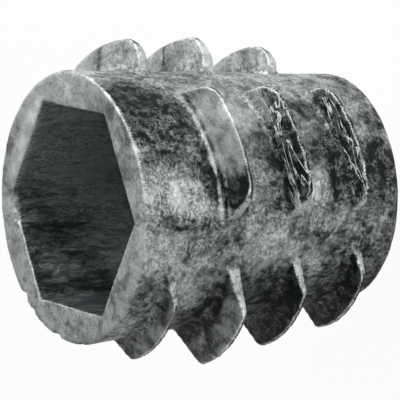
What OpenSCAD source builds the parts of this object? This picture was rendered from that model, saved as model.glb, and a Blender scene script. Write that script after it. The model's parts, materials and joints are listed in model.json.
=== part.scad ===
// Flush threaded insert for wood, die-cast in one piece.
// It stands on its tip: the tip is on z = 0 and the driving socket opens upwards.
// The coarse outer thread is cast between four slides, so each turn is four separate ribs
// with a smooth lane between them.

/* [Barrel] */
// Length from tip to head face
length = 13; // [11.5:0.1:16]
// Diameter of the barrel at the head face
head_d = 11.2; // [10.9:0.1:13.5]
// How much narrower the barrel is at the tip
tip_draft = 1.7; // [0.4:0.1:2.2]
// Edge radius at the head face
head_edge_r = 0.12; // [0.05:0.01:0.3]
// Edge radius at the tip
tip_edge_r = 0.12; // [0.05:0.01:0.3]

/* [Screw and key] */
// Nominal diameter of the screw, which is also the size of the key
screw_d = 8; // [6:0.1:8.2]
// How much wider the socket is than the key
key_clearance = 0.2; // [0:0.05:0.2]
// How much narrower the bore is than the screw, for its thread to be cut
thread_cut = 1.35; // [0.8:0.05:1.8]

/* [Driving socket] */
// Depth of the hexagonal socket
socket_depth = 6; // [4.5:0.1:7]
// Direction of one flat of the socket, in degrees
socket_turn = 45; // [0:1:60]

/* [Threaded bore] */
// Included angle of the cone between socket and bore, in degrees
seat_angle = 90; // [60:1:140]
// Width of the lead-in chamfer at the tip
bore_chamfer = 0.5; // [0.1:0.05:0.7]

/* [Outer thread] */
// Pitch of the coarse thread
pitch = 3.15; // [2.4:0.05:4]
// Length left free of ribs at the tip, measured to the middle of the last rib
free_tip = 1.7; // [1.3:0.05:4]
// Depth below the head face of the first rib's crest
first_rib_depth = 1.78; // [1.4:0.02:2.2]
// How much wider the thread is than the head face at its first rib
start_rise = 1.6; // [1:0.1:2.8]
// How much wider the thread is than the head face where it is widest
widest_rise = 2.8; // [1.4:0.1:4.8]
// Depth below the head face at which the thread is widest
widest_depth = 4.4; // [3:0.1:6]
// How much wider the thread is than the head face at its last rib
end_rise = 0.5; // [-0.4:0.1:1.8]

/* [Rib section] */
// Width of the flat-topped crest
crest_w = 0.18; // [0.16:0.01:0.6]
// Chamfer on the two edges of the crest
crest_edge = 0.05; // [0.02:0.01:0.07]
// Slope of the flank that faces the head, in degrees from square to the axis
head_flank = 15.5; // [2:0.5:20]
// Slope of the flank that faces the tip, in degrees from square to the axis
tip_flank = 3; // [2:0.5:20]
// Fillet between flank and barrel
root_r = 0.35; // [0.2:0.01:0.5]

/* [Slides] */
// Directions in which the four slides pull, in degrees, in the order that the thread runs down
slide_dirs = [321, 225, 132, 45];
// Arc of the widest crest in each slide, clockwise and anticlockwise of the slide's direction
crest_arcs = [[20, 18], [18, 18], [22, 12], [20.5, 20.5]];
// Degrees by which a crest reaches further on each side for every millimetre it is lower
crest_spread = 5; // [0:0.5:8]
// Half of the arc that a rib's root covers, in degrees
root_arc = 33; // [27:0.5:38]
// How far each slide sits below its true place on the thread
slide_shifts = [0.12, 0, -0.33, 0];
// Radius that rounds the corners of a rib, seen along the axis
corner_r = 0.4; // [0.1:0.05:0.8]

/* [Hidden] */
$fn = 64;

zinc = [0.42, 0.44, 0.43];
over = 1;              // how far a cutter runs past what it cuts
spare = 0.2;           // how far a trimming outline clears the crest it leaves whole
rib_sink = 0.3;        // how far a rib runs into the barrel
trim_arc = 12;         // how much longer than its root a rib is before it is trimmed
fillet_sink = 0.08;    // how far a root fillet dips under the barrel's skin
fillet_facets = 3;     // flats across each root fillet
edge_facets = 4;       // flats across the rounded edge at each end of the barrel
corner_facets = 4;     // flats round each corner of a rib, the crest being the last
seat_ledge = 0.1;      // width of the flat ledge between the socket and its seat
hex_half = 30;         // angle from the middle of a hexagon's flat to its corner

tip_d = head_d - tip_draft;
taper = atan((head_d - tip_d) / 2 / length);
slides = len(slide_dirs);
rib_step = pitch / slides;
rib_count = 1 + floor((length - free_tip - first_rib_depth) / rib_step);
start_d = head_d + start_rise;
thread_d = head_d + widest_rise;
end_d = head_d + end_rise;
last_rib_depth = first_rib_depth + (rib_count - 1) * rib_step;
socket_af = screw_d + key_clearance;
socket_floor = length - socket_depth;
bore_d = screw_d - thread_cut;
seat_d = socket_af - 2 * seat_ledge;
seat_drop = (seat_d - bore_d) / 2 / tan(seat_angle / 2);
ring_arc = root_arc + trim_arc;

// Radius of the barrel at a depth below the head face
function barrel_r(depth) = head_d / 2 - depth * tan(taper);

// Straight-line value between two depths
function between(depth, d0, v0, d1, v1) = v0 + (v1 - v0) * (depth - d0) / (d1 - d0);

// Radius of the crest of a rib whose middle lies at a depth
function crest_r(depth) = depth < widest_depth
    ? between(depth, first_rib_depth, start_d / 2, widest_depth, thread_d / 2)
    : between(depth, widest_depth, thread_d / 2, last_rib_depth, end_d / 2);

// Point at a distance from the axis and an angle from the X axis
function polar(r, a) = [r * cos(a), r * sin(a)];

// Points round an arc, which short flats join
function arc(centre, r, from_a, to_a, flats) =
    [for (at = [0 : flats]) centre + polar(r, from_a + (to_a - from_a) * at / flats)];

// The same points on the other side of the X axis, in the reverse order
function flipped(points) = [for (at = [len(points) - 1 : -1 : 0]) [points[at].x, -points[at].y]];

// The barrel, a cone with a rounded edge at each end
module barrel() {
    head_c = [barrel_r(head_edge_r) - head_edge_r / cos(taper), length - head_edge_r];
    tip_c = [barrel_r(length - tip_edge_r) - tip_edge_r / cos(taper), tip_edge_r];
    rotate_extrude() polygon(concat(
        [[0, 0]],
        arc(tip_c, tip_edge_r, -90, -taper, edge_facets),
        arc(head_c, head_edge_r, -taper, 90, edge_facets),
        [[0, length]]
    ));
}

// One side of a rib's section, from its crest to its end inside the barrel, for a crest whose
// middle is on the X axis. The foot of the fillet dips a little under the barrel's skin, so that
// it ends there in a clean line.
function rib_side(core_r, top_r, flank) =
    let (
        foot_r = core_r - fillet_sink,
        foot_w = crest_w / 2 + (top_r - foot_r) * tan(flank),
        centre = [foot_r + root_r, foot_w + root_r * (1 / cos(flank) - tan(flank))],
        dip_w = sqrt(pow(root_r, 2) - pow(root_r - fillet_sink, 2))
    )
    concat(
        [
            [top_r, crest_w / 2 - crest_edge],
            [top_r - crest_edge, crest_w / 2 + crest_edge * tan(flank)]
        ],
        arc(centre, root_r, 270 - flank, 180 + asin(dip_w / 2 / root_r), fillet_facets),
        [[core_r - rib_sink, centre.y - dip_w / 2]]
    );

// Section of a rib, with X as the distance from the axis and the head-side flank above X
module rib_section(core_r, top_r) {
    head_side = rib_side(core_r, top_r, head_flank);
    tip_side = rib_side(core_r, top_r, tip_flank);
    polygon(concat(head_side, flipped(tip_side)));
}

// One side of what a slide lets through, seen along the axis, with its direction on the X axis.
// It runs from the root towards the crest and turns over a corner of short flats, and the last
// flat leaves through the crest at a clear angle.
function slide_side(core_r, top_r, crest_arc) =
    let (
        root = polar(core_r, root_arc),
        crest = polar(top_r, crest_arc + crest_spread * (thread_d / 2 - top_r)),
        side = atan2(root.y - crest.y, crest.x - root.x),
        // the corner's centre lies corner_r inside both the side and the crest
        inset = root.y * cos(side) + root.x * sin(side) - corner_r,
        reach = top_r - corner_r,
        centre_a = asin(inset / reach) - side,
        step = (90 - side - centre_a) / corner_facets,
        flats = corner_facets - 1,
        corner = arc(polar(reach, centre_a), corner_r, 90 - side, centre_a + step, flats),
        last = corner[flats],
        // the last flat faces halfway between the corner's last two points
        facing = centre_a + step + step / 2,
        clear_r = top_r + spare,
        leave = [clear_r, last.y - (clear_r - last.x) / tan(facing)],
        near = root + over * [-1, tan(side)]
    )
    concat([[0, near.y], near], corner, [leave]);

module slide_outline(core_r, top_r, arcs) {
    clockwise = slide_side(core_r, top_r, arcs[0]);
    anticlockwise = slide_side(core_r, top_r, arcs[1]);
    polygon(concat(anticlockwise, flipped(clockwise)));
}

// One rib of the thread. The ring is leaned to the helix angle, and the slide trims it.
module rib(index) {
    slide = index % slides;
    true_depth = first_rib_depth + index * rib_step;
    depth = true_depth + slide_shifts[slide];
    core_r = barrel_r(depth);
    top_r = crest_r(true_depth);
    lead = atan(pitch / (PI * (core_r + top_r)));
    translate([0, 0, length - depth]) rotate([0, 0, slide_dirs[slide]])
        intersection() {
            rotate([lead, 0, 0]) rotate([0, 0, -ring_arc])
                rotate_extrude(angle = 2 * ring_arc) rib_section(core_r, top_r);
            translate([0, 0, -pitch])
                linear_extrude(2 * pitch) slide_outline(core_r, top_r, crest_arcs[slide]);
        }
}

module outer_thread() {
    for (index = [0 : rib_count - 1]) rib(index);
}

// The hexagonal socket, the cone under it, the bore and its lead-in at the tip
module bore() {
    translate([0, 0, socket_floor]) rotate([0, 0, socket_turn + hex_half])
        cylinder(h = socket_depth + over, d = socket_af / cos(hex_half), $fn = 6);
    translate([0, 0, socket_floor - seat_drop])
        cylinder(h = seat_drop, d1 = bore_d, d2 = seat_d);
    translate([0, 0, -over]) cylinder(h = length, d = bore_d);
    lead_in = bore_chamfer + over;
    translate([0, 0, -over]) cylinder(h = lead_in, d1 = bore_d + 2 * lead_in, d2 = bore_d);
}

module insert() {
    color(zinc) difference() {
        union() {
            barrel();
            outer_thread();
        }
        bore();
    }
}

insert();
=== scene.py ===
"""A flush threaded insert for wood, die-cast in zinc alloy, with a coarse interrupted outer
thread, a hexagonal driving socket and a metric thread in its bore.

Lengths are in millimetres and angles in degrees, unless a docstring gives another unit.
"""

import json
import logging
import math
from dataclasses import dataclass
from enum import Enum
from functools import reduce

import bpy
import numpy as np
from bpy.types import ID, Material, Mesh, Node, NodeSocket, NodeTree, Object
from mathutils import Matrix, Quaternion, Vector

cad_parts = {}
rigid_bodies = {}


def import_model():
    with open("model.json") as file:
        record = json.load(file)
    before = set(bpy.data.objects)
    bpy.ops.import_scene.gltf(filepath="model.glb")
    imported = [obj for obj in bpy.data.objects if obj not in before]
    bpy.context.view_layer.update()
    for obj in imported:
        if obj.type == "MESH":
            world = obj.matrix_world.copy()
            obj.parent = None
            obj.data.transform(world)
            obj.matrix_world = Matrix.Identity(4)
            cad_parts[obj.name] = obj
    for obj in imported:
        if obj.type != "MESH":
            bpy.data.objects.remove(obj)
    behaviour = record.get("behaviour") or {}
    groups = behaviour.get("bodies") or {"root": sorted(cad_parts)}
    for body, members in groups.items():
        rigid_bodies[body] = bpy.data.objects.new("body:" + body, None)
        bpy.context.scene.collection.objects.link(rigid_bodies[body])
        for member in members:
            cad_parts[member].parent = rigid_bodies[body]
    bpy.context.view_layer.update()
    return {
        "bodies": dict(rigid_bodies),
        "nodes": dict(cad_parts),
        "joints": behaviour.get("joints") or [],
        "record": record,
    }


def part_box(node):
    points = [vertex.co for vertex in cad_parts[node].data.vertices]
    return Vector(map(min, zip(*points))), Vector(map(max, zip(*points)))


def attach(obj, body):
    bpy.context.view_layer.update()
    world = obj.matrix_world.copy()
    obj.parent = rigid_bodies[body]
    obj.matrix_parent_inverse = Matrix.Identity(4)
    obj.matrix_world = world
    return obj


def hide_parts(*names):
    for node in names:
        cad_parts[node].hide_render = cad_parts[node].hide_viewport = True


MM = 0.001
"""One millimetre in scene units; the casting is shaped in millimetres and then brought down."""

log = logging.getLogger("threaded_insert")


def deselect_all() -> None:
    """Leave nothing selected, because an operator acts on all that is."""
    if bpy.context.object is not None and bpy.context.object.mode != "OBJECT":
        bpy.ops.object.mode_set(mode="OBJECT")
    bpy.ops.object.select_all(action="DESELECT")


def make_active(piece: Object) -> None:
    """Select one object alone and make it the active one.

    Args:
        piece: The object.
    """
    deselect_all()
    piece.select_set(True)
    bpy.context.view_layer.objects.active = piece


def modify(piece: Object, kind: str, **settings: object) -> None:
    """Add a modifier to a piece and apply it.

    Args:
        piece: The piece.
        kind: Type of the modifier.
        settings: Its settings.
    """
    modifier = piece.modifiers.new(kind, kind)
    for name, value in settings.items():
        setattr(modifier, name, value)
    make_active(piece)
    bpy.ops.object.modifier_apply(modifier=modifier.name)


def vectors(mesh: Mesh, name: str) -> np.ndarray:
    """Read a vector of each point of a mesh.

    Args:
        mesh: The mesh.
        name: "co" for where each point lies, or "normal" for which way it faces.

    Returns:
        The vectors, N by 3.
    """
    values = np.empty(len(mesh.vertices) * 3)
    mesh.vertices.foreach_get(name, values)
    return values.reshape(-1, 3)


def set_positions(mesh: Mesh, points: np.ndarray) -> None:
    """Write an array of N by 3 back as a mesh's points."""
    mesh.vertices.foreach_set("co", points.reshape(-1))
    mesh.update()


@dataclass(frozen=True)
class Dent:
    """A small nick, chip or pit pressed into the casting.

    Attributes:
        angle: Direction round the axis.
        radius: Distance of its middle from the axis.
        height: Height of its middle above the tip.
        width: Half its width.
        depth: How far its middle is pushed in.
        stretch: How much longer than wide it is along the axis.
    """

    angle: float
    radius: float
    height: float
    width: float
    depth: float
    stretch: float = 1.0

    def press(self, points: np.ndarray, push: np.ndarray) -> None:
        """Add this dent's inward push to every point near it.

        Args:
            points: The casting's points, N by 3.
            push: Depth to push each point in by, which this adds to.
        """
        turn = math.radians(self.angle)
        middle = np.array([self.radius * math.cos(turn), self.radius * math.sin(turn), self.height])
        away = points - middle
        away[:, 2] /= self.stretch
        share = np.clip(1 - np.sum(away**2, axis=1) / self.width**2, 0, None)
        push += self.depth * share**1.5


@dataclass(frozen=True)
class RibForm:
    """Where the ribs of the outer thread lie, for the work on their ends.

    Attributes:
        length: Height of the head face.
        head_r: Radius of the barrel at the head face.
        tip_r: Radius of the barrel at the tip.
        pitch: Pitch of the thread.
        slides: Number of ribs in a turn.
        first_depth: Depth of the first rib below the head face.
        last_depth: Depth of the last rib.
        widest_depth: Depth at which the thread is widest.
        radii: Crest radius at the first rib, at the widest place and at the last rib.
        root_arc: Half of the arc that a rib's root covers.
        spread: Degrees by which a crest reaches further for each millimetre it is lower.
    """

    length: float = 13.0
    head_r: float = 5.6
    tip_r: float = 4.75
    pitch: float = 3.15
    slides: int = 4
    first_depth: float = 1.78
    last_depth: float = 11.23
    widest_depth: float = 4.4
    radii: tuple[float, float, float] = (6.4, 7.0, 5.85)
    root_arc: float = 33.0
    spread: float = 5.0

    def depth(self, index: int) -> float:
        """Depth of a rib's middle below the head face."""
        return self.first_depth + index * self.pitch / self.slides

    def barrel_r(self, height: float | np.ndarray) -> float | np.ndarray:
        """Radius of the barrel at a height above the tip."""
        return self.tip_r + (self.head_r - self.tip_r) * height / self.length

    def crest_r(self, index: int) -> float:
        """Radius of a rib's crest."""
        depths = (self.first_depth, self.widest_depth, self.last_depth)
        return float(np.interp(self.depth(index), depths, self.radii))


@dataclass(frozen=True)
class RibEnd:
    """One end of the ribs in a slide, where the die was filled softly.

    Attributes:
        direction: Direction in which the slide pulls.
        side: 1 for the anticlockwise end, -1 for the clockwise end.
        ribs: The ribs it shapes, counted from the head.
        crest_arc: Arc of the widest crest on this side.
        corner: Radius that rounds the corner.
        reach: Degrees by which the end reaches further round.
    """

    direction: float
    side: int
    ribs: tuple[int, ...]
    crest_arc: float
    corner: float
    reach: float = 0.0

    def shape(self, points: np.ndarray, form: RibForm) -> None:
        """Move the points of these rib ends, in place.

        Args:
            points: The casting's points, N by 3.
            form: Where the ribs lie.
        """
        begins, grown, ends = 6, 22, 48
        foot, clear, lift, half_gap = 0.05, 0.06, 0.5, form.pitch * 0.42
        for index in self.ribs:
            core = form.barrel_r(form.length - form.depth(index))
            top = form.crest_r(index)
            turn = np.degrees(np.arctan2(points[:, 1], points[:, 0])) - self.direction
            turn = (turn + 180) % 360 - 180
            radius = np.hypot(points[:, 0], points[:, 1])
            middle = form.length - form.depth(index) + turn * form.pitch / 360
            near = (np.abs(points[:, 2] - middle) < half_gap) & (turn * self.side > begins)
            near &= (np.abs(turn) < ends) & (radius > form.barrel_r(points[:, 2]) + clear)
            away, out = turn[near] * self.side, radius[near]
            rise = np.clip((out - core - foot) / lift, 0, 1)
            away = away + self.reach * np.clip((away - begins) / (grown - begins), 0, 1) * rise
            along, across = self.rounded(
                out * np.cos(np.radians(away)), out * np.sin(np.radians(away)), core, top, form
            )
            turned = np.radians(self.direction) + self.side * np.arctan2(across, along)
            out = np.hypot(along, across)
            points[near, 0] = out * np.cos(turned)
            points[near, 1] = out * np.sin(turned)

    def rounded(
        self, along: np.ndarray, across: np.ndarray, core: float, top: float, form: RibForm
    ) -> tuple[np.ndarray, np.ndarray]:
        """Pull points outside the rounded corner back to it.

        Args:
            along: How far each point lies along the slide's direction.
            across: How far it lies to this side.
            core: Radius of the barrel there.
            top: Radius of the crest.
            form: Where the ribs lie.

        Returns:
            The two places of each point after the move.
        """
        spare_turn, least_gap = 0.2, 1e-6
        root_turn = math.radians(form.root_arc + self.reach)
        crest_turn = math.radians(self.crest_arc + self.reach + form.spread * (form.radii[1] - top))
        root = Vector((core * math.cos(root_turn), core * math.sin(root_turn)))
        crest = Vector((top * math.cos(crest_turn), top * math.sin(crest_turn)))
        slope = math.atan2(root.y - crest.y, crest.x - root.x)
        inset = root.y * math.cos(slope) + root.x * math.sin(slope) - self.corner
        reach = top - self.corner
        turn = math.asin(min(inset / reach, 1)) - slope
        last_turn = math.pi / 2 - slope + spare_turn
        middle = (reach * math.cos(turn), reach * math.sin(turn))
        gap_x, gap_y = along - middle[0], across - middle[1]
        gap = np.hypot(gap_x, gap_y)
        facing = np.arctan2(gap_y, gap_x)
        outside = (facing > turn) & (facing < last_turn) & (gap > self.corner)
        share = np.where(outside, self.corner / np.maximum(gap, least_gap), 1.0)
        return middle[0] + gap_x * share, middle[1] + gap_y * share


@dataclass(frozen=True)
class Skin:
    """Where each point of the casting's skin lies and which way it faces.

    Attributes:
        turn: Direction round the axis.
        radius: Distance from the axis.
        height: Height above the tip.
        stand: How far it stands out from the barrel.
        rise: How far it faces the head, from -1 to 1.
        sideways: How far it faces round the axis, from 0 to 1.
        head: Which points lie on the head face.
        on_rib: From 0 on the barrel to 1 on a rib.
    """

    turn: np.ndarray
    radius: np.ndarray
    height: np.ndarray
    stand: np.ndarray
    rise: np.ndarray
    sideways: np.ndarray
    head: np.ndarray
    on_rib: np.ndarray

    @classmethod
    def read(cls, mesh: Mesh, form: RibForm) -> "Skin":
        """Read the skin of a mesh in millimetres.

        Args:
            mesh: The casting's mesh.
            form: Where the barrel and the ribs lie.

        Returns:
            The skin.
        """
        axis, rim, upward, foot, fade = 0.1, 0.2, 0.6, 0.15, 0.3
        points, out = vectors(mesh, "co"), vectors(mesh, "normal")
        x, y, height = points.T
        radius = np.hypot(x, y)
        round_axis = np.stack([-y, x], axis=1) / np.maximum(radius, axis)[:, None]
        stand = radius - form.barrel_r(height)
        return cls(
            turn=np.degrees(np.arctan2(y, x)),
            radius=radius,
            height=height,
            stand=stand,
            rise=out[:, 2],
            sideways=np.abs(np.sum(out[:, :2] * round_axis, axis=1)),
            head=(height > form.length - rim) & (out[:, 2] > upward),
            on_rib=np.clip((stand - foot) / fade, 0, 1),
        )


@dataclass(frozen=True)
class Patch:
    """A soft-edged place where a mark of the skin is stronger or weaker than round it.

    Attributes:
        angle: Direction round the axis.
        height: Height of its middle above the tip.
        spread: Half its width round the axis.
        tall: Half its height.
        amount: What it adds in its middle; an oxide is darker below 0 and lighter above.
        inner: Least distance from the axis.
        outer: Greatest distance from the axis.
        soft: Width over which it fades at those two.
    """

    angle: float
    height: float
    spread: float
    tall: float
    amount: float
    inner: float = 5.0
    outer: float = 8.0
    soft: float = 0.16

    def mark(self, skin: Skin) -> np.ndarray:
        """Work out what this patch adds.

        Args:
            skin: The casting's skin.

        Returns:
            The amount at each point.
        """
        round_axis = (skin.turn - self.angle + 180) % 360 - 180
        away = (round_axis / self.spread) ** 2 + ((skin.height - self.height) / self.tall) ** 2
        inside = np.clip((skin.radius - self.inner) / self.soft + 0.5, 0, 1)
        inside *= np.clip((self.outer - skin.radius) / self.soft + 0.5, 0, 1)
        return self.amount * np.exp(-(away**1.5)) * inside


def marked(skin: Skin, patches: tuple[Patch, ...]) -> np.ndarray:
    """What a set of patches adds up to at each point of a skin."""
    return sum(patch.mark(skin) for patch in patches)


@dataclass(frozen=True)
class MachineThread:
    """The metric thread in the bore, as the tool that cuts it.

    Attributes:
        minor_d: Diameter of the bore that the grooves are cut in.
        major_d: Diameter at the roots of the grooves.
        pitch: Distance from one groove to the next.
        crest_share: Share of the pitch that is left flat between grooves.
        bottom: Height at which the grooves start, below the tip.
        turns: Number of turns.
        steps: Points in one turn.
    """

    minor_d: float = 6.65
    major_d: float = 7.95
    pitch: float = 1.25
    crest_share: float = 0.14
    bottom: float = -2.2
    turns: int = 8
    steps: int = 60

    def build(self) -> Object:
        """Make the cutter: one groove's section, swept up the bore as a screw.

        Returns:
            The cutter, in millimetres, round the axis.
        """
        deselect_all()
        sink, half_root = 0.3, 1 / 16
        inner, outer = self.minor_d / 2 - sink, self.major_d / 2
        root = self.pitch * half_root
        slope = (self.pitch * (1 - self.crest_share) / 2 - root) / (outer - self.minor_d / 2)
        mouth = root + slope * (outer - inner)
        bpy.ops.mesh.primitive_circle_add(vertices=4, radius=1, fill_type="NOTHING")
        cutter = bpy.context.object
        cutter.name = "bore_thread_cutter"
        corners = ((inner, -mouth), (outer, -root), (outer, root), (inner, mouth))
        for vertex, (reach, rise) in zip(cutter.data.vertices, corners):
            vertex.co = (reach, 0, self.bottom + rise)
        sweep = {"screw_offset": self.pitch, "iterations": self.turns}
        modify(cutter, "SCREW", axis="Z", steps=self.steps, render_steps=self.steps, **sweep)
        bpy.ops.object.mode_set(mode="EDIT")
        bpy.ops.mesh.select_all(action="SELECT")
        bpy.ops.mesh.fill_holes(sides=0)
        bpy.ops.mesh.normals_make_consistent(inside=False)
        bpy.ops.object.mode_set(mode="OBJECT")
        return cutter


class Place(Enum):
    """Which finish each part of the casting has."""

    OUTSIDE = 0
    SOCKET = 1
    BORE = 2


@dataclass(frozen=True)
class WearAndPaintedLight:
    """How the casting's surface has aged: its oxide, its crust and where it is rubbed, with painted
    shade and painted highlights laid over these.

    Attributes:
        patches: Where the oxide is thick or rubbed thin, and where light and shade are painted: painted
            shade on the side away from the key lamp, painted reflections of the front lamp, and painted
            light and shade that even out the lamps in the socket.
        foot_highlights: Where painted highlights run as light lines along the foot of a rib.
        flows: Where the metal met cold and left wandering lines.
        crusts: Where the skin is crustier or smoother.
        rubs: Where handling has rubbed the rims of the head face bright.
    """

    patches: tuple[Patch, ...] = (
        # A dark patch round 60 to 70 degrees, partly oxide and partly painted shade between the front
        # lamp's reflection and the key lamp's light, then light patches round 25 degrees that are a
        # painted reflection of the front lamp.
        Patch(68, 12, 15, 1.5, -2.5),
        Patch(58, 10.9, 9, 1, -1),
        Patch(29, 11.7, 8, 1.1, 1.1),
        Patch(23.5, 10.5, 8.5, 1.1, 1.7),
        Patch(29, 9.55, 8, 0.5, -1.8, 5, 5.65),
        Patch(14, 11, 4.5, 1.6, -0.9),
        Patch(3, 12, 9, 1, 0.35),
        # A light patch round 25 degrees: painted reflection of the front lamp.
        Patch(26, 4.1, 9, 0.8, 1.4),
        Patch(29, 3.2, 9, 0.4, -1.5, 4.8, 5.5),
        Patch(72, 1.7, 10, 1, -1),
        Patch(60, 7.2, 14, 1, 0.5),
        Patch(60, 4.2, 12, 0.8, 0.4),
        Patch(34, 5.8, 14, 0.5, -0.5, 5, 5.9),
        # Painted shade: these darken the barrel and ribs on the side that faces away from the key lamp,
        # round 300 to 320 degrees.
        Patch(-55, 7.7, 34, 2.6, -1.4, 5, 5.7),
        Patch(-52, 2, 34, 4.2, -1.5, 4.6, 5.8),
        Patch(-39, 11.1, 40, 1, 0.1, 5.7),
        Patch(-42, 7.9, 36, 1, -0.05, 5.6),
        Patch(-42, 4.8, 44, 1.2, -2.2, 5.3),
        Patch(-42, 1.7, 44, 1.2, -2.2, 5.1),
        Patch(50, 9.1, 20, 0.8, 0.7, 5.6),
        Patch(26, 8.9, 7, 0.9, -1.6, 5.6),
        Patch(14, 9.1, 3.5, 0.8, -0.6, 5.6),
        Patch(45, 5.7, 34, 1.1, -1.1, 5.8),
        Patch(45, 5.7, 34, 1.1, -0.25, 5.2, 5.8),
        Patch(45, 2.6, 34, 1.1, -1, 5.1),
        Patch(30, 5.7, 15, 1.1, -1, 5.25, 5.8),
        Patch(34, 2.6, 18, 1.1, -1, 4.95, 5.2),
        Patch(115, 13, 45, 0.6, 0.3, 3.9, 5.7),
        Patch(205, 13, 45, 0.6, -0.3, 3.9, 5.7),
        Patch(128.5, 8.5, 0.9, 2.6, -1.2, 5.7),
        Patch(120, 7.5, 44, 8, 0.4, 4.8),
        # These four paint light and shade in the socket: lighter on the walls that the lamps leave in
        # shade, darker on the walls that they light, so that the socket looks evenly lit.
        Patch(165, 10, 30, 9, 1.2, 0, 4.9),
        Patch(262, 10, 50, 9, -0.5, 0, 4.9),
        Patch(220, 8, 60, 1.8, 0.8, 0, 4.9),
        Patch(285, 10, 24, 9, -1, 0, 4.9),
        Patch(34, 0.9, 12, 0.8, -1.4, 4.6, 5.2),
        Patch(8, 1.3, 22, 1.5, -0.45, 4.6, 5.3),
        Patch(66, 4.6, 7, 1.2, -0.9, 4.6, 5.2),
        Patch(130, 9, 20, 5, 0.25, 5.6),
    )
    foot_highlights: tuple[Patch, ...] = (
        Patch(50, 9.5, 32, 0.9, 1.1, 5.2),
        Patch(24, 9.2, 12, 0.7, 1.5, 5.2),
        Patch(45, 4.5, 32, 2.8, 0.5, 4.8),
    )
    flows: tuple[Patch, ...] = (
        Patch(45, 5.7, 36, 1.1, 1.3, 5.5),
        Patch(45, 2.6, 36, 1.1, 1.3, 5.2),
    )
    crusts: tuple[Patch, ...] = (
        Patch(28, 10.9, 12, 2, 0.25),
        Patch(64, 11.6, 18, 1.5, 0.6),
        Patch(50, 9.1, 24, 0.9, -0.3, 5.4),
        Patch(-15, 7, 20, 6, -0.2, 5, 5.7),
        Patch(60, 7.2, 17, 1.1, -0.3, 5, 5.9),
        Patch(60, 4.2, 15, 0.9, -0.3, 5, 5.7),
        Patch(38, 0.9, 16, 0.9, 0.5),
        Patch(70, 12, 14, 1.4, -0.75),
        Patch(45, 5.7, 34, 1.1, 0.4, 5.3),
        Patch(45, 2.6, 34, 1.1, 0.4, 5.1),
    )
    rubs: tuple[Patch, ...] = (
        Patch(58, 13, 42, 0.5, 0.75, 5.2),
        Patch(225, 13, 70, 0.5, 0.5, 3.9, 5.2),
    )

    def tones_and_painted_light(self, skin: Skin) -> np.ndarray:
        """Work out how thick the oxide is at each point, with painted shade and painted highlights
        added.

        Args:
            skin: The casting's skin.

        Returns:
            For each point, below 0 where it is dark from thick oxide and painted shade, above 0 where
            it is light from thin oxide and painted highlights.
        """
        foot_highlight_lines = ((0.06, 0.05), (0.38, 0.06))
        crest_painted_shade, limit = -0.9, 1.5
        end_floor, end_lift = 0.1, 0.6
        head_floor, head_lift = -0.1, 0.45
        # Light lines along the foot of each rib: a painted highlight where the foot's curve catches the
        # lamps.
        foot = sum(np.exp(-(((skin.stand - out) / width) ** 2)) for out, width in foot_highlight_lines)
        foot = np.where(skin.rise > 0.15, foot, 0)
        tone_and_painted_light = marked(skin, self.patches) + foot * marked(skin, self.foot_highlights)
        # The crest flats are darkened: painted shade on the crests.
        level = np.abs(skin.rise + 0.2) < 0.32
        crests = (skin.stand > 0.5) & level & (skin.sideways < 0.5)
        tone_and_painted_light = np.where(crests, tone_and_painted_light + crest_painted_shade, tone_and_painted_light)
        ends = (skin.stand > 0.15) & (skin.sideways > 0.55)
        tone_and_painted_light = np.where(ends, np.maximum(tone_and_painted_light, end_floor) + end_lift, tone_and_painted_light)
        tone_and_painted_light = np.where(skin.head, np.maximum(tone_and_painted_light, head_floor) + head_lift, tone_and_painted_light)
        return np.clip(tone_and_painted_light, -limit, limit)

    def crustiness(self, skin: Skin) -> np.ndarray:
        """Work out how crusty the skin is at each point, least on the ribs and the head face.

        Args:
            skin: The casting's skin.

        Returns:
            For each point, from 0, smooth, to 1, crusty.
        """
        barrel, rib_loss, head = 0.42, 0.3, 0.12
        crust = np.where(skin.head, head, barrel - rib_loss * skin.on_rib)
        return np.clip(crust + marked(skin, self.crusts), 0, 1)

    def rubbing_and_highlight(self, skin: Skin) -> np.ndarray:
        """Work out how bright each edge is made: rubbed by handling on the barrel and the head face,
        and a painted highlight on the crests' head sides.

        Args:
            skin: The casting's skin.

        Returns:
            For each point, the share of its edge that is made bright, as rub and as painted highlight.
        """
        head_side = np.clip((skin.rise - 0.1) / 0.3, 0, 1)
        barrel = 0.45 + marked(skin, self.rubs)
        # On the ribs the bright edge is mostly a painted highlight, strongest on the side that faces
        # the head.
        crest = 0.2 + 0.8 * head_side
        return (1 - skin.on_rib) * barrel + skin.on_rib * crest


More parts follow.
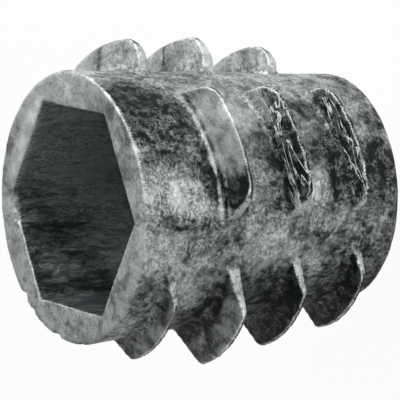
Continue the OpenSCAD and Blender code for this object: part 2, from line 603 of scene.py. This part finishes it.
@dataclass
class Casting:
    """The whole insert: one zinc casting with a thread cut in its bore.

    Attributes:
        form: Where the ribs lie.
        thread: The tool that cuts the bore.
        wear_and_painted_light: How the surface has aged, with painted shade and painted highlights in
            its marks.
        node: Name of the solid that it stands for.
        name: Name of the piece.
        weld: Distance under which loose corners are merged.
        voxel: Size of the cells in which the casting's skin is rebuilt.
        faces: Most triangles that the finished piece has.
        socket_floor: Height of the socket's floor above the tip.
        socket_r: Radius inside which the socket's walls lie.
        bore_r: Radius inside which the bore counts as cut and not cast.
        uneven: Height, size and number of finer lumps of the slow unevenness from shrinkage
            and of the fine one from the die.
        rib_ends: The rib ends that are softer than the die drew them.
        dents: Nicks, chips and pits from handling.
    """

    form: RibForm = RibForm()
    thread: MachineThread = MachineThread()
    wear_and_painted_light: WearAndPaintedLight = WearAndPaintedLight()
    node: str = "insert"
    name: str = "insert_casting"
    weld: float = 0.0005
    voxel: float = 0.08
    faces: int = 190_000
    socket_floor: float = 6.9
    socket_r: float = 4.85
    bore_r: float = 4.05
    uneven: tuple[tuple[float, float, int], ...] = ((0.05, 1.6, 1), (0.014, 0.35, 2))
    rib_ends: tuple[RibEnd, ...] = (
        RibEnd(132.0, -1, (2, 6, 10), 22.0, 1.4, 2.5),
        RibEnd(45.0, 1, (3, 7, 11), 20.5, 1.3),
        RibEnd(45.0, -1, (3, 7, 11), 20.5, 1.2),
    )
    dents: tuple[Dent, ...] = (
        Dent(17.5, 5.02, 13, 0.17, 0.14),
        Dent(14, 5.0, 13, 0.12, 0.08),
        Dent(-163.5, 4.75, 13, 0.36, 0.16),
        Dent(-158, 4.42, 13, 0.3, 0.14),
        Dent(-152.5, 4.42, 13, 0.26, 0.12),
        Dent(-146.5, 4.5, 13, 0.22, 0.1),
        Dent(19.4, 5.42, 13, 0.12, 0.1),
        Dent(16.6, 5.46, 13, 0.13, 0.12),
        Dent(-116, 5.55, 12.9, 0.3, 0.14),
        Dent(-107, 5.58, 12.9, 0.24, 0.08),
        Dent(-86, 5.58, 12.9, 0.34, 0.12),
        Dent(-67.5, 5.58, 12.9, 0.26, 0.1),
        Dent(101.3, 5.66, 9.63, 0.16, 0.1),
        Dent(22.5, 5.5, 11.6, 0.16, 0.07),
        Dent(20, 5.48, 11.3, 0.12, 0.06),
        Dent(24, 5.46, 11, 0.1, 0.05),
        Dent(14.5, 5.62, 8.75, 0.22, 0.1, 1.6),
    )

    @classmethod
    def fitted(cls, frame: dict[str, object]) -> "Casting":
        """Take the insert's length and the bore's diameter from the frame.

        Args:
            frame: The loaded frame.

        Returns:
            A casting that fits it.
        """
        length = round(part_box(cls.node)[1].z / MM, 3)
        bores = [mount for mount in frame["record"]["mounts"] if mount["kind"] == "threaded_hole"]
        thread = MachineThread(minor_d=2 * bores[0]["dims"]["r_mm"])
        return cls(form=RibForm(length=length), thread=thread)

    def build(self, nodes: dict[str, Object]) -> Object:
        """Make the finished casting.

        Args:
            nodes: The solids of the frame, by name.

        Returns:
            The piece, in scene units, at the origin.
        """
        piece = self.copy_solid(nodes[self.node])
        self.cut_bore(piece)
        self.round_edges(piece)
        self.shape_rib_ends(piece)
        self.roughen(piece)
        self.press_dents(piece)
        self.mark(piece)
        self.lighten(piece)
        piece.data.transform(Matrix.Scale(MM, 4))
        make_active(piece)
        bpy.ops.object.shade_smooth()
        log.info("%s: %d faces", piece.name, len(piece.data.polygons))
        return piece

    def copy_solid(self, solid: Object) -> Object:
        """Copy a solid, with its loose triangles merged.

        Args:
            solid: A node of the frame.

        Returns:
            The copy.
        """
        piece = solid.copy()
        piece.data = solid.data.copy()
        for key in list(piece.keys()):
            del piece[key]
        piece.name = self.name
        piece.parent = None
        bpy.context.scene.collection.objects.link(piece)
        piece.data.transform(Matrix.Scale(1 / MM, 4))
        make_active(piece)
        bpy.ops.object.mode_set(mode="EDIT")
        bpy.ops.mesh.select_all(action="SELECT")
        bpy.ops.mesh.remove_doubles(threshold=self.weld)
        bpy.ops.mesh.customdata_custom_splitnormals_clear()
        bpy.ops.object.mode_set(mode="OBJECT")
        piece.data.materials.clear()
        return piece

    def cut_bore(self, piece: Object) -> None:
        """Cut the metric thread in the bore and remove the cutter.

        Args:
            piece: The casting.
        """
        cutter = self.thread.build()
        modify(piece, "BOOLEAN", operation="DIFFERENCE", solver="EXACT", object=cutter)
        bpy.data.objects.remove(cutter)

    def round_edges(self, piece: Object) -> None:
        """Rebuild the skin in small cells, which rounds every edge a little, as a die does."""
        modify(piece, "REMESH", mode="VOXEL", voxel_size=self.voxel)

    def shape_rib_ends(self, piece: Object) -> None:
        """Soften the rib ends, and even out the skin again.

        Args:
            piece: The casting.
        """
        points = vectors(piece.data, "co")
        for end in self.rib_ends:
            end.shape(points, self.form)
        set_positions(piece.data, points)
        self.round_edges(piece)

    def roughen(self, piece: Object) -> None:
        """Give the skin its slow and its fine unevenness.

        Args:
            piece: The casting.
        """
        for height, size, finer in self.uneven:
            cloud = bpy.data.textures.new("uneven", "CLOUDS")
            cloud.noise_scale = size
            cloud.noise_depth = finer
            lumps = {"texture": cloud, "texture_coords": "LOCAL", "mid_level": 0.5}
            modify(piece, "DISPLACE", strength=height, **lumps)

    def press_dents(self, piece: Object) -> None:
        """Push the skin in at every nick, chip and pit.

        Args:
            piece: The casting.
        """
        points = vectors(piece.data, "co")
        push = np.zeros(len(points))
        for dent in self.dents:
            dent.press(points, push)
        set_positions(piece.data, points - vectors(piece.data, "normal") * push[:, None])

    def mark(self, piece: Object) -> None:
        """Write down, for each point of the skin, what the finishes read.

        Args:
            piece: The casting.
        """
        skin = Skin.read(piece.data, self.form)
        shape = SkinShape()
        marks = {
            # The edge mark is partly rub and partly painted highlight; the tone mark carries painted
            # shade and painted reflections as well as oxide.
            "edge": shape.edges(piece.data) * self.wear_and_painted_light.rubbing_and_highlight(skin),
            "hollow": shape.hollows(piece.data),
            "tone_and_painted_light": self.wear_and_painted_light.tones_and_painted_light(skin),
            "flow": marked(skin, self.wear_and_painted_light.flows),
            "crust": self.wear_and_painted_light.crustiness(skin),
        }
        for name, values in marks.items():
            attribute = piece.data.attributes.new(name, "FLOAT", "POINT")
            attribute.data.foreach_set("value", values)

    def lighten(self, piece: Object) -> None:
        """Drop the faces that flat places don't need.

        Args:
            piece: The casting.
        """
        whole = sum(len(face.vertices) - 2 for face in piece.data.polygons)
        modify(piece, "DECIMATE", ratio=min(1.0, self.faces / whole))

    def dress(self, piece: Object, *finishes: "Finish") -> None:
        """Give the skin its finishes: cast outside, cored in the socket and cut in the bore.

        Args:
            piece: The finished casting.
            finishes: Finish of the outside, of the socket and of the bore.
        """
        tip_face, steep = 0.05, 0.6
        for finish in finishes:
            piece.data.materials.append(finish.material())
        for face in piece.data.polygons:
            middle = face.center / MM
            radius = math.hypot(middle.x, middle.y)
            if tip_face < middle.z < self.socket_floor and radius < self.bore_r:
                face.material_index = Place.BORE.value
            elif middle.z > self.socket_floor and radius < self.socket_r and abs(face.normal.z) < steep:
                face.material_index = Place.SOCKET.value


@dataclass(frozen=True)
class SkinShape:
    """Measures where a skin has edges and hollows.

    Attributes:
        bend: Height that a point of a sharp edge stands above its neighbours.
        reach: How far away a wall still closes a hollow in.
        cell: Size of the block's cells.
        closed: How much thicker than over a flat the cloud is in a deep corner.
    """

    bend: float = 0.010
    reach: float = 0.5
    cell: float = 0.2
    closed: float = 1.2

    @staticmethod
    def neighbour_mean(values: np.ndarray, pairs: np.ndarray) -> np.ndarray:
        """Average the neighbours of each point.

        Args:
            values: One row for each point.
            pairs: The two points of each edge.

        Returns:
            One averaged row for each point.
        """
        size = len(values)
        count = np.bincount(pairs.reshape(-1), minlength=size)
        columns = [
            np.bincount(pairs[:, 0], column[pairs[:, 1]], size)
            + np.bincount(pairs[:, 1], column[pairs[:, 0]], size)
            for column in values.T
        ]
        return np.stack(columns, axis=1) / np.maximum(count, 1)[:, None]

    def edges(self, mesh: Mesh) -> np.ndarray:
        """Find the outside edges of a skin of even cells.

        Args:
            mesh: The skin.

        Returns:
            For each point, from 0 on a flat to 1 on a sharp edge.
        """
        ends = np.empty(len(mesh.edges) * 2, dtype=np.int32)
        mesh.edges.foreach_get("vertices", ends)
        pairs = ends.reshape(-1, 2)
        points = vectors(mesh, "co")
        away = points - self.neighbour_mean(points, pairs)
        rise = np.sum(away * vectors(mesh, "normal"), axis=1, keepdims=True)
        for _ in range(2):
            rise = self.neighbour_mean(rise, pairs)
        return np.clip(rise[:, 0] / self.bend, 0, 1)

    def hollows(self, mesh: Mesh) -> np.ndarray:
        """Find how closed in each point of a skin of even cells is.

        The points are spread as a soft cloud over a block of cells. The cloud is then read a
        little above each point, where it is thicker the more other walls stand near.

        Args:
            mesh: The skin.

        Returns:
            For each point, from 0 in the open to 1 in a deep corner.
        """
        points = vectors(mesh, "co")
        margin = 4 * self.reach
        low = points.min(axis=0) - margin
        size = np.ceil((points.max(axis=0) + margin - low) / self.cell).astype(int)
        edges = [np.arange(count + 1) * self.cell + start for count, start in zip(size, low)]
        cloud = np.histogramdd(points, bins=edges)[0]
        cloud = np.fft.rfftn(cloud)
        for axis, count in enumerate(size):
            wave = np.fft.rfftfreq(count) if axis == 2 else np.fft.fftfreq(count)
            soft = np.exp(-2 * (math.pi * self.reach / self.cell * wave) ** 2)
            cloud = cloud * soft.reshape([-1 if axis == way else 1 for way in range(3)])
        cloud = np.fft.irfftn(cloud, s=tuple(size))
        above = (points + vectors(mesh, "normal") * self.reach - low) / self.cell - 0.5
        corner = np.floor(above).astype(int)
        part = above - corner
        thick = np.zeros(len(points))
        for step in np.ndindex(2, 2, 2):
            weight = np.prod(np.where(step, part, 1 - part), axis=1)
            thick += weight * cloud[tuple((corner + step).T)]
        flat = np.median(thick)
        return np.clip((thick / flat - 1) / self.closed, 0, 1)


class NodeBench:
    """A material's node tree, with short ways to add and join nodes."""

    def __init__(self, tree: NodeTree) -> None:
        """Start on an empty tree."""
        self.tree = tree
        tree.nodes.clear()

    def feed(self, target: NodeSocket, value: object) -> None:
        """Give an input a plain value, or join an output to it.

        Args:
            target: The input.
            value: The value or the output.
        """
        if isinstance(value, NodeSocket):
            self.tree.links.new(value, target)
        else:
            target.default_value = value

    def add(
        self, kind: str, inputs: dict[str | int, object] | None = None, **settings: object
    ) -> Node:
        """Add a node.

        Args:
            kind: Type of the node.
            inputs: What its inputs take, by their name or number.
            settings: Its other settings.

        Returns:
            The node.
        """
        node = self.tree.nodes.new(kind)
        for name, value in settings.items():
            setattr(node, name, value)
        for key, value in (inputs or {}).items():
            self.feed(node.inputs[key], value)
        return node

    def math(self, operation: str, *values: object, clamp: bool = False) -> NodeSocket:
        """Add a math node and give back its result."""
        settings = {"operation": operation, "use_clamp": clamp}
        return self.add("ShaderNodeMath", dict(enumerate(values)), **settings).outputs[0]

    def product(self, first: object, *others: object) -> NodeSocket:
        """Multiply several values."""
        return reduce(lambda result, value: self.math("MULTIPLY", result, value), others, first)

    def total(self, *shares: tuple[NodeSocket, float]) -> NodeSocket:
        """Add up several values, each times its own weight."""
        weighted = [self.math("MULTIPLY", value, weight) for value, weight in shares]
        return reduce(lambda result, value: self.math("ADD", result, value), weighted)

    def ramp(self, value: object, low: float, high: float) -> NodeSocket:
        """Bring a value from 0 at low to 1 at high, smoothly."""
        inputs = {"Value": value, "From Min": low, "From Max": high}
        return self.add("ShaderNodeMapRange", inputs, interpolation_type="SMOOTHSTEP").outputs[0]

    def mix(self, share: object, first: object, second: object, way: str = "MIX") -> NodeSocket:
        """Mix two colours by a share, or multiply them."""
        settings = {"data_type": "RGBA", "blend_type": way}
        return self.add("ShaderNodeMix", {0: share, 6: first, 7: second}, **settings).outputs[2]

    def blend(self, share: object, first: object, second: object) -> NodeSocket:
        """Mix two numbers by a share."""
        return self.add("ShaderNodeMix", {0: share, 2: first, 3: second}, data_type="FLOAT").outputs[0]


@dataclass(frozen=True)
class Noise:
    """A noise pattern, from which clouds or lines are drawn.

    Attributes:
        scale: Lumps to the millimetre.
        detail: Number of finer noises on top.
        rough: How strong the finer noises are.
        warp: How far the noise is pulled about.
    """

    scale: float
    detail: float
    rough: float
    warp: float = 0.0

    def value(self, bench: NodeBench, place: NodeSocket) -> NodeSocket:
        """Draw the noise itself.

        Args:
            bench: The bench of a material or of a group.
            place: The place that it reads.

        Returns:
            The noise, which is about 0.5 on average.
        """
        inputs = {"Vector": place, "Scale": self.scale, "Detail": self.detail}
        inputs |= {"Roughness": self.rough, "Distortion": self.warp}
        return bench.add("ShaderNodeTexNoise", inputs).outputs["Fac"]

    def cloud(self, bench: NodeBench, place: NodeSocket, low: float, high: float) -> NodeSocket:
        """Clouds: 0 where the noise is below low, and 1 where it is above high."""
        return bench.ramp(self.value(bench, place), low, high)

    def lines(self, bench: NodeBench, place: NodeSocket, width: float) -> NodeSocket:
        """Thin lines: 1 where the noise passes its middle value, and 0 beside them."""
        gap = bench.math("ABSOLUTE", bench.math("SUBTRACT", self.value(bench, place), 0.5))
        return bench.ramp(gap, width, width * 0.3)


def colour(grey: float, blue: float = 0.0) -> tuple[float, float, float, float]:
    """A zinc grey with a little less red, which leans to blue where the oxide is thick."""
    return (grey * (0.965 - blue), grey * 1.025, grey * (0.99 + blue), 1.0)


@dataclass(frozen=True)
class OxideMottle:
    """Cloudy zinc oxide: slow patches, sandy flecks, wandering veins, cracks and dark specks.

    Attributes:
        name: Name of the node group.
        patch: Slow patches of thick and thin oxide.
        soft: Clouds on a smooth skin.
        cloud: Clouds on a crusty skin.
        fleck: Sandy flecks.
        veins: Coarse and fine light veins.
        vein_places: Where there are veins.
        cracks: Coarse and fine dark cracks.
        crack_places: Where there are cracks.
        speck: Small dark specks.
        grain: The finest grain.
    """

    name: str = "oxide_mottle"
    patch: Noise = Noise(0.42, 5, 0.6, 0.5)
    soft: Noise = Noise(1.6, 2, 0.45, 0.3)
    cloud: Noise = Noise(1.6, 6, 0.72, 0.6)
    fleck: Noise = Noise(6.0, 3, 0.65, 0.4)
    veins: tuple[Noise, Noise] = (Noise(2.4, 2, 0.6, 1.8), Noise(5.28, 1, 0.5, 1.2))
    vein_places: Noise = Noise(2.2, 2, 0.5)
    cracks: tuple[Noise, Noise] = (Noise(1.0, 5, 0.68, 1.0), Noise(2.4, 3, 0.6, 1.4))
    crack_places: Noise = Noise(1.4, 2, 0.5)
    speck: Noise = Noise(7.8, 1, 0.5)
    grain: Noise = Noise(15.0, 2, 0.6)

    def group(self) -> NodeTree:
        """Build the node group, once.

        Returns:
            A group that takes a place in millimetres and gives its patterns, each from 0 to 1.
        """
        known = bpy.data.node_groups.get(self.name)
        if known:
            return known
        tree = bpy.data.node_groups.new(self.name, "ShaderNodeTree")
        tree.interface.new_socket("Place", in_out="INPUT", socket_type="NodeSocketVector")
        bench = NodeBench(tree)
        here = (bench, bench.add("NodeGroupInput").outputs["Place"])
        coarse_vein, fine_vein = (
            noise.lines(*here, width=width) for noise, width in zip(self.veins, (0.040, 0.060))
        )
        coarse_crack, fine_crack = (
            noise.lines(*here, width=width) for noise, width in zip(self.cracks, (0.018, 0.028))
        )
        vein = bench.math("MAXIMUM", coarse_vein, bench.product(fine_vein, 0.8))
        crack = bench.math("MAXIMUM", coarse_crack, fine_crack)
        patterns = {
            "Patch": self.patch.cloud(*here, low=0.34, high=0.66),
            "Soft": self.soft.cloud(*here, low=0.36, high=0.66),
            "Rough": self.cloud.cloud(*here, low=0.38, high=0.64),
            "Fleck": self.fleck.cloud(*here, low=0.38, high=0.62),
            "Vein": bench.product(vein, self.vein_places.cloud(*here, low=0.42, high=0.60)),
            "Crack": bench.product(crack, self.crack_places.cloud(*here, low=0.36, high=0.52)),
            "Speck": self.speck.cloud(*here, low=0.68, high=0.76),
            "Grain": self.grain.cloud(*here, low=0.36, high=0.64),
        }
        for name in patterns:
            tree.interface.new_socket(name, in_out="OUTPUT", socket_type="NodeSocketFloat")
        bench.add("NodeGroupOutput", patterns)
        return tree


@dataclass(frozen=True)
class Finish:
    """A finish of zinc alloy.

    Attributes:
        name: Name of its material.
        dark: Grey of the thickest oxide.
        light: Grey of the thinnest oxide.
        bright: Grey of bare rubbed metal, which also paints the highlights on the crests.
        blue: How far the thin oxide leans to blue.
        dull: Roughness of the oxide.
        polish: Roughness of rubbed metal.
        metal: How metallic the oxide is.
        bare_metal: How metallic rubbed metal is.
        gloss: Strength of the oxide's own reflection.
        gloss_grey: Grey of that reflection.
        stretch: How many times shorter the pattern is along each axis.
        relief: Height of the oxide's grain.
    """

    name: str
    dark: float = 0.035
    light: float = 0.30
    bright: float = 0.62
    blue: float = 0.0
    dull: float = 0.46
    polish: float = 0.34
    metal: float = 0.5
    bare_metal: float = 0.85
    gloss: float = 0.12
    gloss_grey: float = 0.35
    stretch: tuple[float, float, float] = (1, 1, 1)
    relief: float = 0.03

    def material(self) -> Material:
        """Build the material.

        The oxide's own patterns and the marks on the skin, which carry painted shade and painted
        reflections too, give how light the surface is. Its colour follows from that, and then veins,
        cracks, lines, specks and sand are laid over it, and rubbed edges with painted highlights last.

        Returns:
            The material.
        """
        material = bpy.data.materials.new(self.name)
        material.use_nodes = True
        bench = NodeBench(material.node_tree)
        place = object_place(bench, self.stretch)
        patterns = bench.add("ShaderNodeGroup", node_tree=OxideMottle().group())
        bench.feed(patterns.inputs["Place"], place)
        patch, soft, rough, fleck, vein, crack, speck, grain = patterns.outputs
        edge, hollow, tone_and_painted_light, flow, crust = (
            bench.add("ShaderNodeAttribute", attribute_name=name).outputs["Fac"]
            for name in ("edge", "hollow", "tone_and_painted_light", "flow", "crust")
        )
        ripple = self.ripple(bench, flow)

        # The tone mark brings in oxide together with painted shade and painted reflections.
        cloud = bench.blend(bench.ramp(crust, low=0.05, high=0.5), soft, rough)
        slow = bench.total((patch, 0.40), (cloud, 0.44), (tone_and_painted_light, 0.62), (hollow, -0.25))
        bare = bench.ramp(slow, low=0.87, high=1.57)
        sand = bench.product(bench.blend(crust, 0.25, 1.1), bench.blend(bare, 1.0, 0.35))
        fine = bench.product(bench.math("SUBTRACT", fleck, 0.5), sand, 0.38)
        thin = bench.math("ADD", slow, bench.math("ADD", fine, 0.13))
        thin = bench.ramp(thin, low=0.02, high=1.08)
        rub_and_highlight = bench.product(
            bench.ramp(edge, low=0.45, high=0.95), bench.ramp(cloud, low=-0.8, high=0.6)
        )

        base = bench.mix(thin, colour(self.dark, blue=0.08), colour(self.light, self.blue))
        base = bench.mix(bare, base, colour(self.bright))
        in_dark = bench.product(vein, bench.blend(thin, 0.7, 0.25), bench.blend(crust, 0.25, 1.0))
        base = bench.mix(in_dark, base, colour(self.bright * 0.75))
        in_light = bench.product(crack, bench.blend(thin, 0.35, 0.9))
        in_light = bench.math("MULTIPLY", in_light, bench.blend(crust, 0.15, 1.2), clamp=True)
        base = bench.mix(in_light, base, colour(self.dark * 0.6, blue=0.06))
        base = bench.mix(bench.product(ripple, 0.9), base, colour(self.bright * 1.1))
        base = bench.mix(bench.product(speck, 0.55), base, colour(self.dark * 0.5, blue=0.06))
        sandy = bench.math("SUBTRACT", bench.total((fleck, 0.5), (grain, 0.5)), 0.5)
        sandy = bench.math("ADD", bench.product(sandy, sand), 1.0)
        base = bench.mix(1.0, base, sandy, way="MULTIPLY")
        # Bright edges: rub on the rims, and a painted highlight along the crests' head sides.
        base = bench.mix(rub_and_highlight, base, colour(self.bright))

        raised = bench.total((fleck, 0.6), (cloud, 0.8), (vein, 0.5), (grain, 0.25), (ripple, 1.5))
        height = bench.total((raised, 1.0), (speck, -1.0), (crack, -1.6))
        height = bench.product(height, bench.blend(crust, 0.45, 1.5))
        bump = {"Strength": 0.8, "Distance": self.relief * MM, "Height": height}
        dull = bench.blend(thin, self.dull - 0.06, self.dull + 0.06)
        look = {
            "Base Color": base,
            "Metallic": bench.blend(rub_and_highlight, self.metal, self.bare_metal),
            "Roughness": bench.blend(rub_and_highlight, dull, self.polish),
            "Specular IOR Level": self.gloss,
            "Specular Tint": plain_grey(self.gloss_grey),
            "Normal": bench.add("ShaderNodeBump", bump).outputs["Normal"],
        }
        shader = bench.add("ShaderNodeBsdfPrincipled", look)
        bench.add("ShaderNodeOutputMaterial", {"Surface": shader.outputs["BSDF"]})
        return material

    @staticmethod
    def ripple(bench: NodeBench, flow: NodeSocket) -> NodeSocket:
        """Draw the wandering lines where cold metal met along the ribs of the 45 degree slide.

        Args:
            bench: The material's bench.
            flow: Where the lines are.

        Returns:
            1 on a line and 0 beside it.
        """
        metal, gaps, along_rib = Noise(1.5, 4, 0.62, 0.7), Noise(1.3, 2, 0.5), (1.3, 0.22, 1)
        place = object_place(bench, turn=45)
        drawn = bench.add("ShaderNodeMapping", {"Vector": place, "Scale": along_rib})
        lines = metal.lines(bench, drawn.outputs["Vector"], width=0.026)
        return bench.product(lines, gaps.cloud(bench, place, low=0.34, high=0.44), flow)


CAST_ZINC = Finish("cast_zinc", dark=0.017, light=0.45, bright=0.70)
# The outside: dull mottled oxide with painted shade and painted reflections, rubbed bright on its edges
# and with painted highlights on its crests.
"""The outside: dull mottled oxide, rubbed bright on its edges."""

CORED_ZINC = Finish("cored_zinc", dark=0.062, light=0.56, bright=0.5, blue=0.04, stretch=(1, 1, 0.3))
"""The socket: nearly black, with streaks where the core was drawn."""

TAPPED_ZINC = Finish("tapped_zinc", dark=0.10, light=0.34, dull=0.36, metal=0.85, stretch=(1, 1, 6))
"""The bore: brighter and smoother, with fine rings left by the tap."""


def object_place(
    bench: NodeBench, squash: tuple[float, float, float] = (1, 1, 1), turn: float = 0.0
) -> NodeSocket:
    """Place on the piece in millimetres.

    Args:
        bench: The material's bench.
        squash: How many times shorter the pattern becomes along each axis.
        turn: Direction that becomes the pattern's X axis.

    Returns:
        The place, for a pattern to read.
    """
    inputs = {
        "Vector": bench.add("ShaderNodeTexCoord").outputs["Object"],
        "Rotation": (0, 0, math.radians(-turn)),
        "Scale": tuple(share / MM for share in squash),
    }
    return bench.add("ShaderNodeMapping", inputs).outputs["Vector"]


def stand(name: str, data: ID, at: Vector, turn: Quaternion) -> Object:
    """Put a lamp or a camera in the room.

    Args:
        name: Name of its object.
        data: The lamp or the camera.
        at: Its place, in metres.
        turn: How it is turned.

    Returns:
        Its object.
    """
    thing = bpy.data.objects.new(name, data)
    bpy.context.scene.collection.objects.link(thing)
    thing.location = at
    thing.rotation_mode = "QUATERNION"
    thing.rotation_quaternion = turn
    return thing


def plain_grey(level: float) -> tuple[float, float, float, float]:
    """A grey without any tint."""
    return (level, level, level, 1)


def white_rays(bench: NodeBench) -> NodeSocket:
    """Tell what is seen from light that falls.

    Args:
        bench: The bench of a material or of the air.

    Returns:
        1 for what the camera, a reflection or glass sees, and 0 for light that falls.
    """
    path = bench.add("ShaderNodeLightPath")
    seen = bench.math("MAXIMUM", path.outputs["Is Camera Ray"], path.outputs["Is Glossy Ray"])
    return bench.math("MAXIMUM", seen, path.outputs["Is Transmission Ray"])


@dataclass(frozen=True)
class Lamp:
    """A soft round lamp that faces the object.

    Attributes:
        name: Name of the lamp.
        way: Direction of the lamp, as seen by the camera: right, up and towards it.
        size: Width of the lamp.
        away: Its distance from the object.
        light: Light that falls on a surface that faces it, where 1 shows a colour as written.
        aim: Height that it is aimed at.
    """

    name: str
    way: tuple[float, float, float]
    size: float
    away: float
    light: float
    aim: float = 6.5

    def hang(self, turn: Matrix) -> None:
        """Hang the lamp.

        Args:
            turn: How the camera is turned.
        """
        data = bpy.data.lights.new(self.name, "AREA")
        data.shape = "DISK"
        data.size = self.size * MM
        direction = (turn @ Vector(self.way)).normalized()
        data.energy = self.light * math.pi**2 * (self.away**2 + (self.size / 2) ** 2) * MM**2
        at = Vector((0, 0, self.aim * MM)) + direction * self.away * MM
        stand(self.name, data, at, (-direction).to_track_quat("-Z", "Y"))


@dataclass(frozen=True)
class Studio:
    """The floor, the lamps, the air round them and the camera.

    Attributes:
        floor_r: Radius of the floor, in metres.
        paper: Grey of the floor under the light.
        white: How white the floor shows behind the object.
        weak: Strength of the even light from all round.
        target: Point that the camera looks at.
        distance: Distance from the camera to it.
        azimuth: Direction of the camera round the axis.
        elevation: Height of the camera above the floor.
        roll: Turn of the camera about its own line of sight.
        lens: Focal length.
        lamps: The lamps.
    """

    floor_r: float = 0.6
    paper: float = 0.8
    white: float = 0.96
    weak: float = 0.1
    target: tuple[float, float, float] = (-0.05, -0.14, 6.68)
    distance: float = 189.5
    azimuth: float = 25.05
    elevation: float = 33.04
    roll: float = 94.67
    lens: float = 412.0
    lamps: tuple[Lamp, ...] = (
        Lamp("key", (-0.45, 0.85, 0.15), size=120, away=120, light=1.15),
        Lamp("front", (0.55, 0.0, 0.83), size=36, away=160, light=0.9),
    )

    def build(self) -> None:
        """Lay the floor, fill the air, place the camera and hang the lamps."""
        self.floor()
        self.air()
        turn = self.camera()
        for lamp in self.lamps:
            lamp.hang(turn)

    def floor(self) -> Object:
        """Make a plain pale floor that stays white behind the object and keeps its shadow.

        Returns:
            The floor.
        """
        deselect_all()
        bpy.ops.mesh.primitive_circle_add(vertices=96, radius=self.floor_r, fill_type="NGON")
        floor = bpy.context.object
        floor.name = "studio_floor"
        material = bpy.data.materials.new("studio_floor")
        material.use_nodes = True
        bench = NodeBench(material.node_tree)
        paper = bench.add("ShaderNodeBsdfDiffuse", {"Color": plain_grey(self.paper)})
        glow = bench.add("ShaderNodeEmission", {"Color": plain_grey(1)})
        shown = bench.product(white_rays(bench), self.white)
        both = bench.add("ShaderNodeMixShader", {0: shown, 1: paper.outputs[0], 2: glow.outputs[0]})
        bench.add("ShaderNodeOutputMaterial", {"Surface": both.outputs[0]})
        floor.data.materials.append(material)
        return floor

    def air(self) -> None:
        """Fill the room with weak even light, which shows as white behind the object."""
        world = bpy.data.worlds.new("studio")
        bpy.context.scene.world = world
        world.use_nodes = True
        bench = NodeBench(world.node_tree)
        weak = bench.add("ShaderNodeBackground", {"Color": plain_grey(self.weak)}).outputs[0]
        bright = bench.add("ShaderNodeBackground", {"Color": plain_grey(1)}).outputs[0]
        both = bench.add("ShaderNodeMixShader", {0: white_rays(bench), 1: weak, 2: bright})
        bench.add("ShaderNodeOutputWorld", {"Surface": both.outputs[0]})

    def camera(self) -> Matrix:
        """Place the camera.

        Returns:
            How it is turned.
        """
        data = bpy.data.cameras.new("camera")
        data.lens = self.lens
        data.sensor_width = 36
        data.clip_start, data.clip_end = 0.01, 5
        turn, up = math.radians(self.azimuth), math.radians(self.elevation)
        back = Vector((math.cos(turn) * math.cos(up), math.sin(turn) * math.cos(up), math.sin(up)))
        level = (-back).to_track_quat("-Z", "Y")
        held = level @ Quaternion((0, 0, 1), math.radians(-self.roll))
        at = (Vector(self.target) + back * self.distance) * MM
        bpy.context.scene.camera = stand("camera", data, at, held)
        return held.to_matrix()


def main() -> None:
    """Build the insert and its studio."""
    logging.basicConfig(level=logging.INFO, format="%(name)s: %(message)s")
    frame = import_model()
    bpy.context.scene.view_settings.view_transform = "Standard"
    casting = Casting.fitted(frame)
    piece = casting.build(frame["nodes"])
    casting.dress(piece, CAST_ZINC, CORED_ZINC, TAPPED_ZINC)
    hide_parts(casting.node)
    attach(piece, "root")
    Studio().build()


if __name__ == "__main__":
    main()
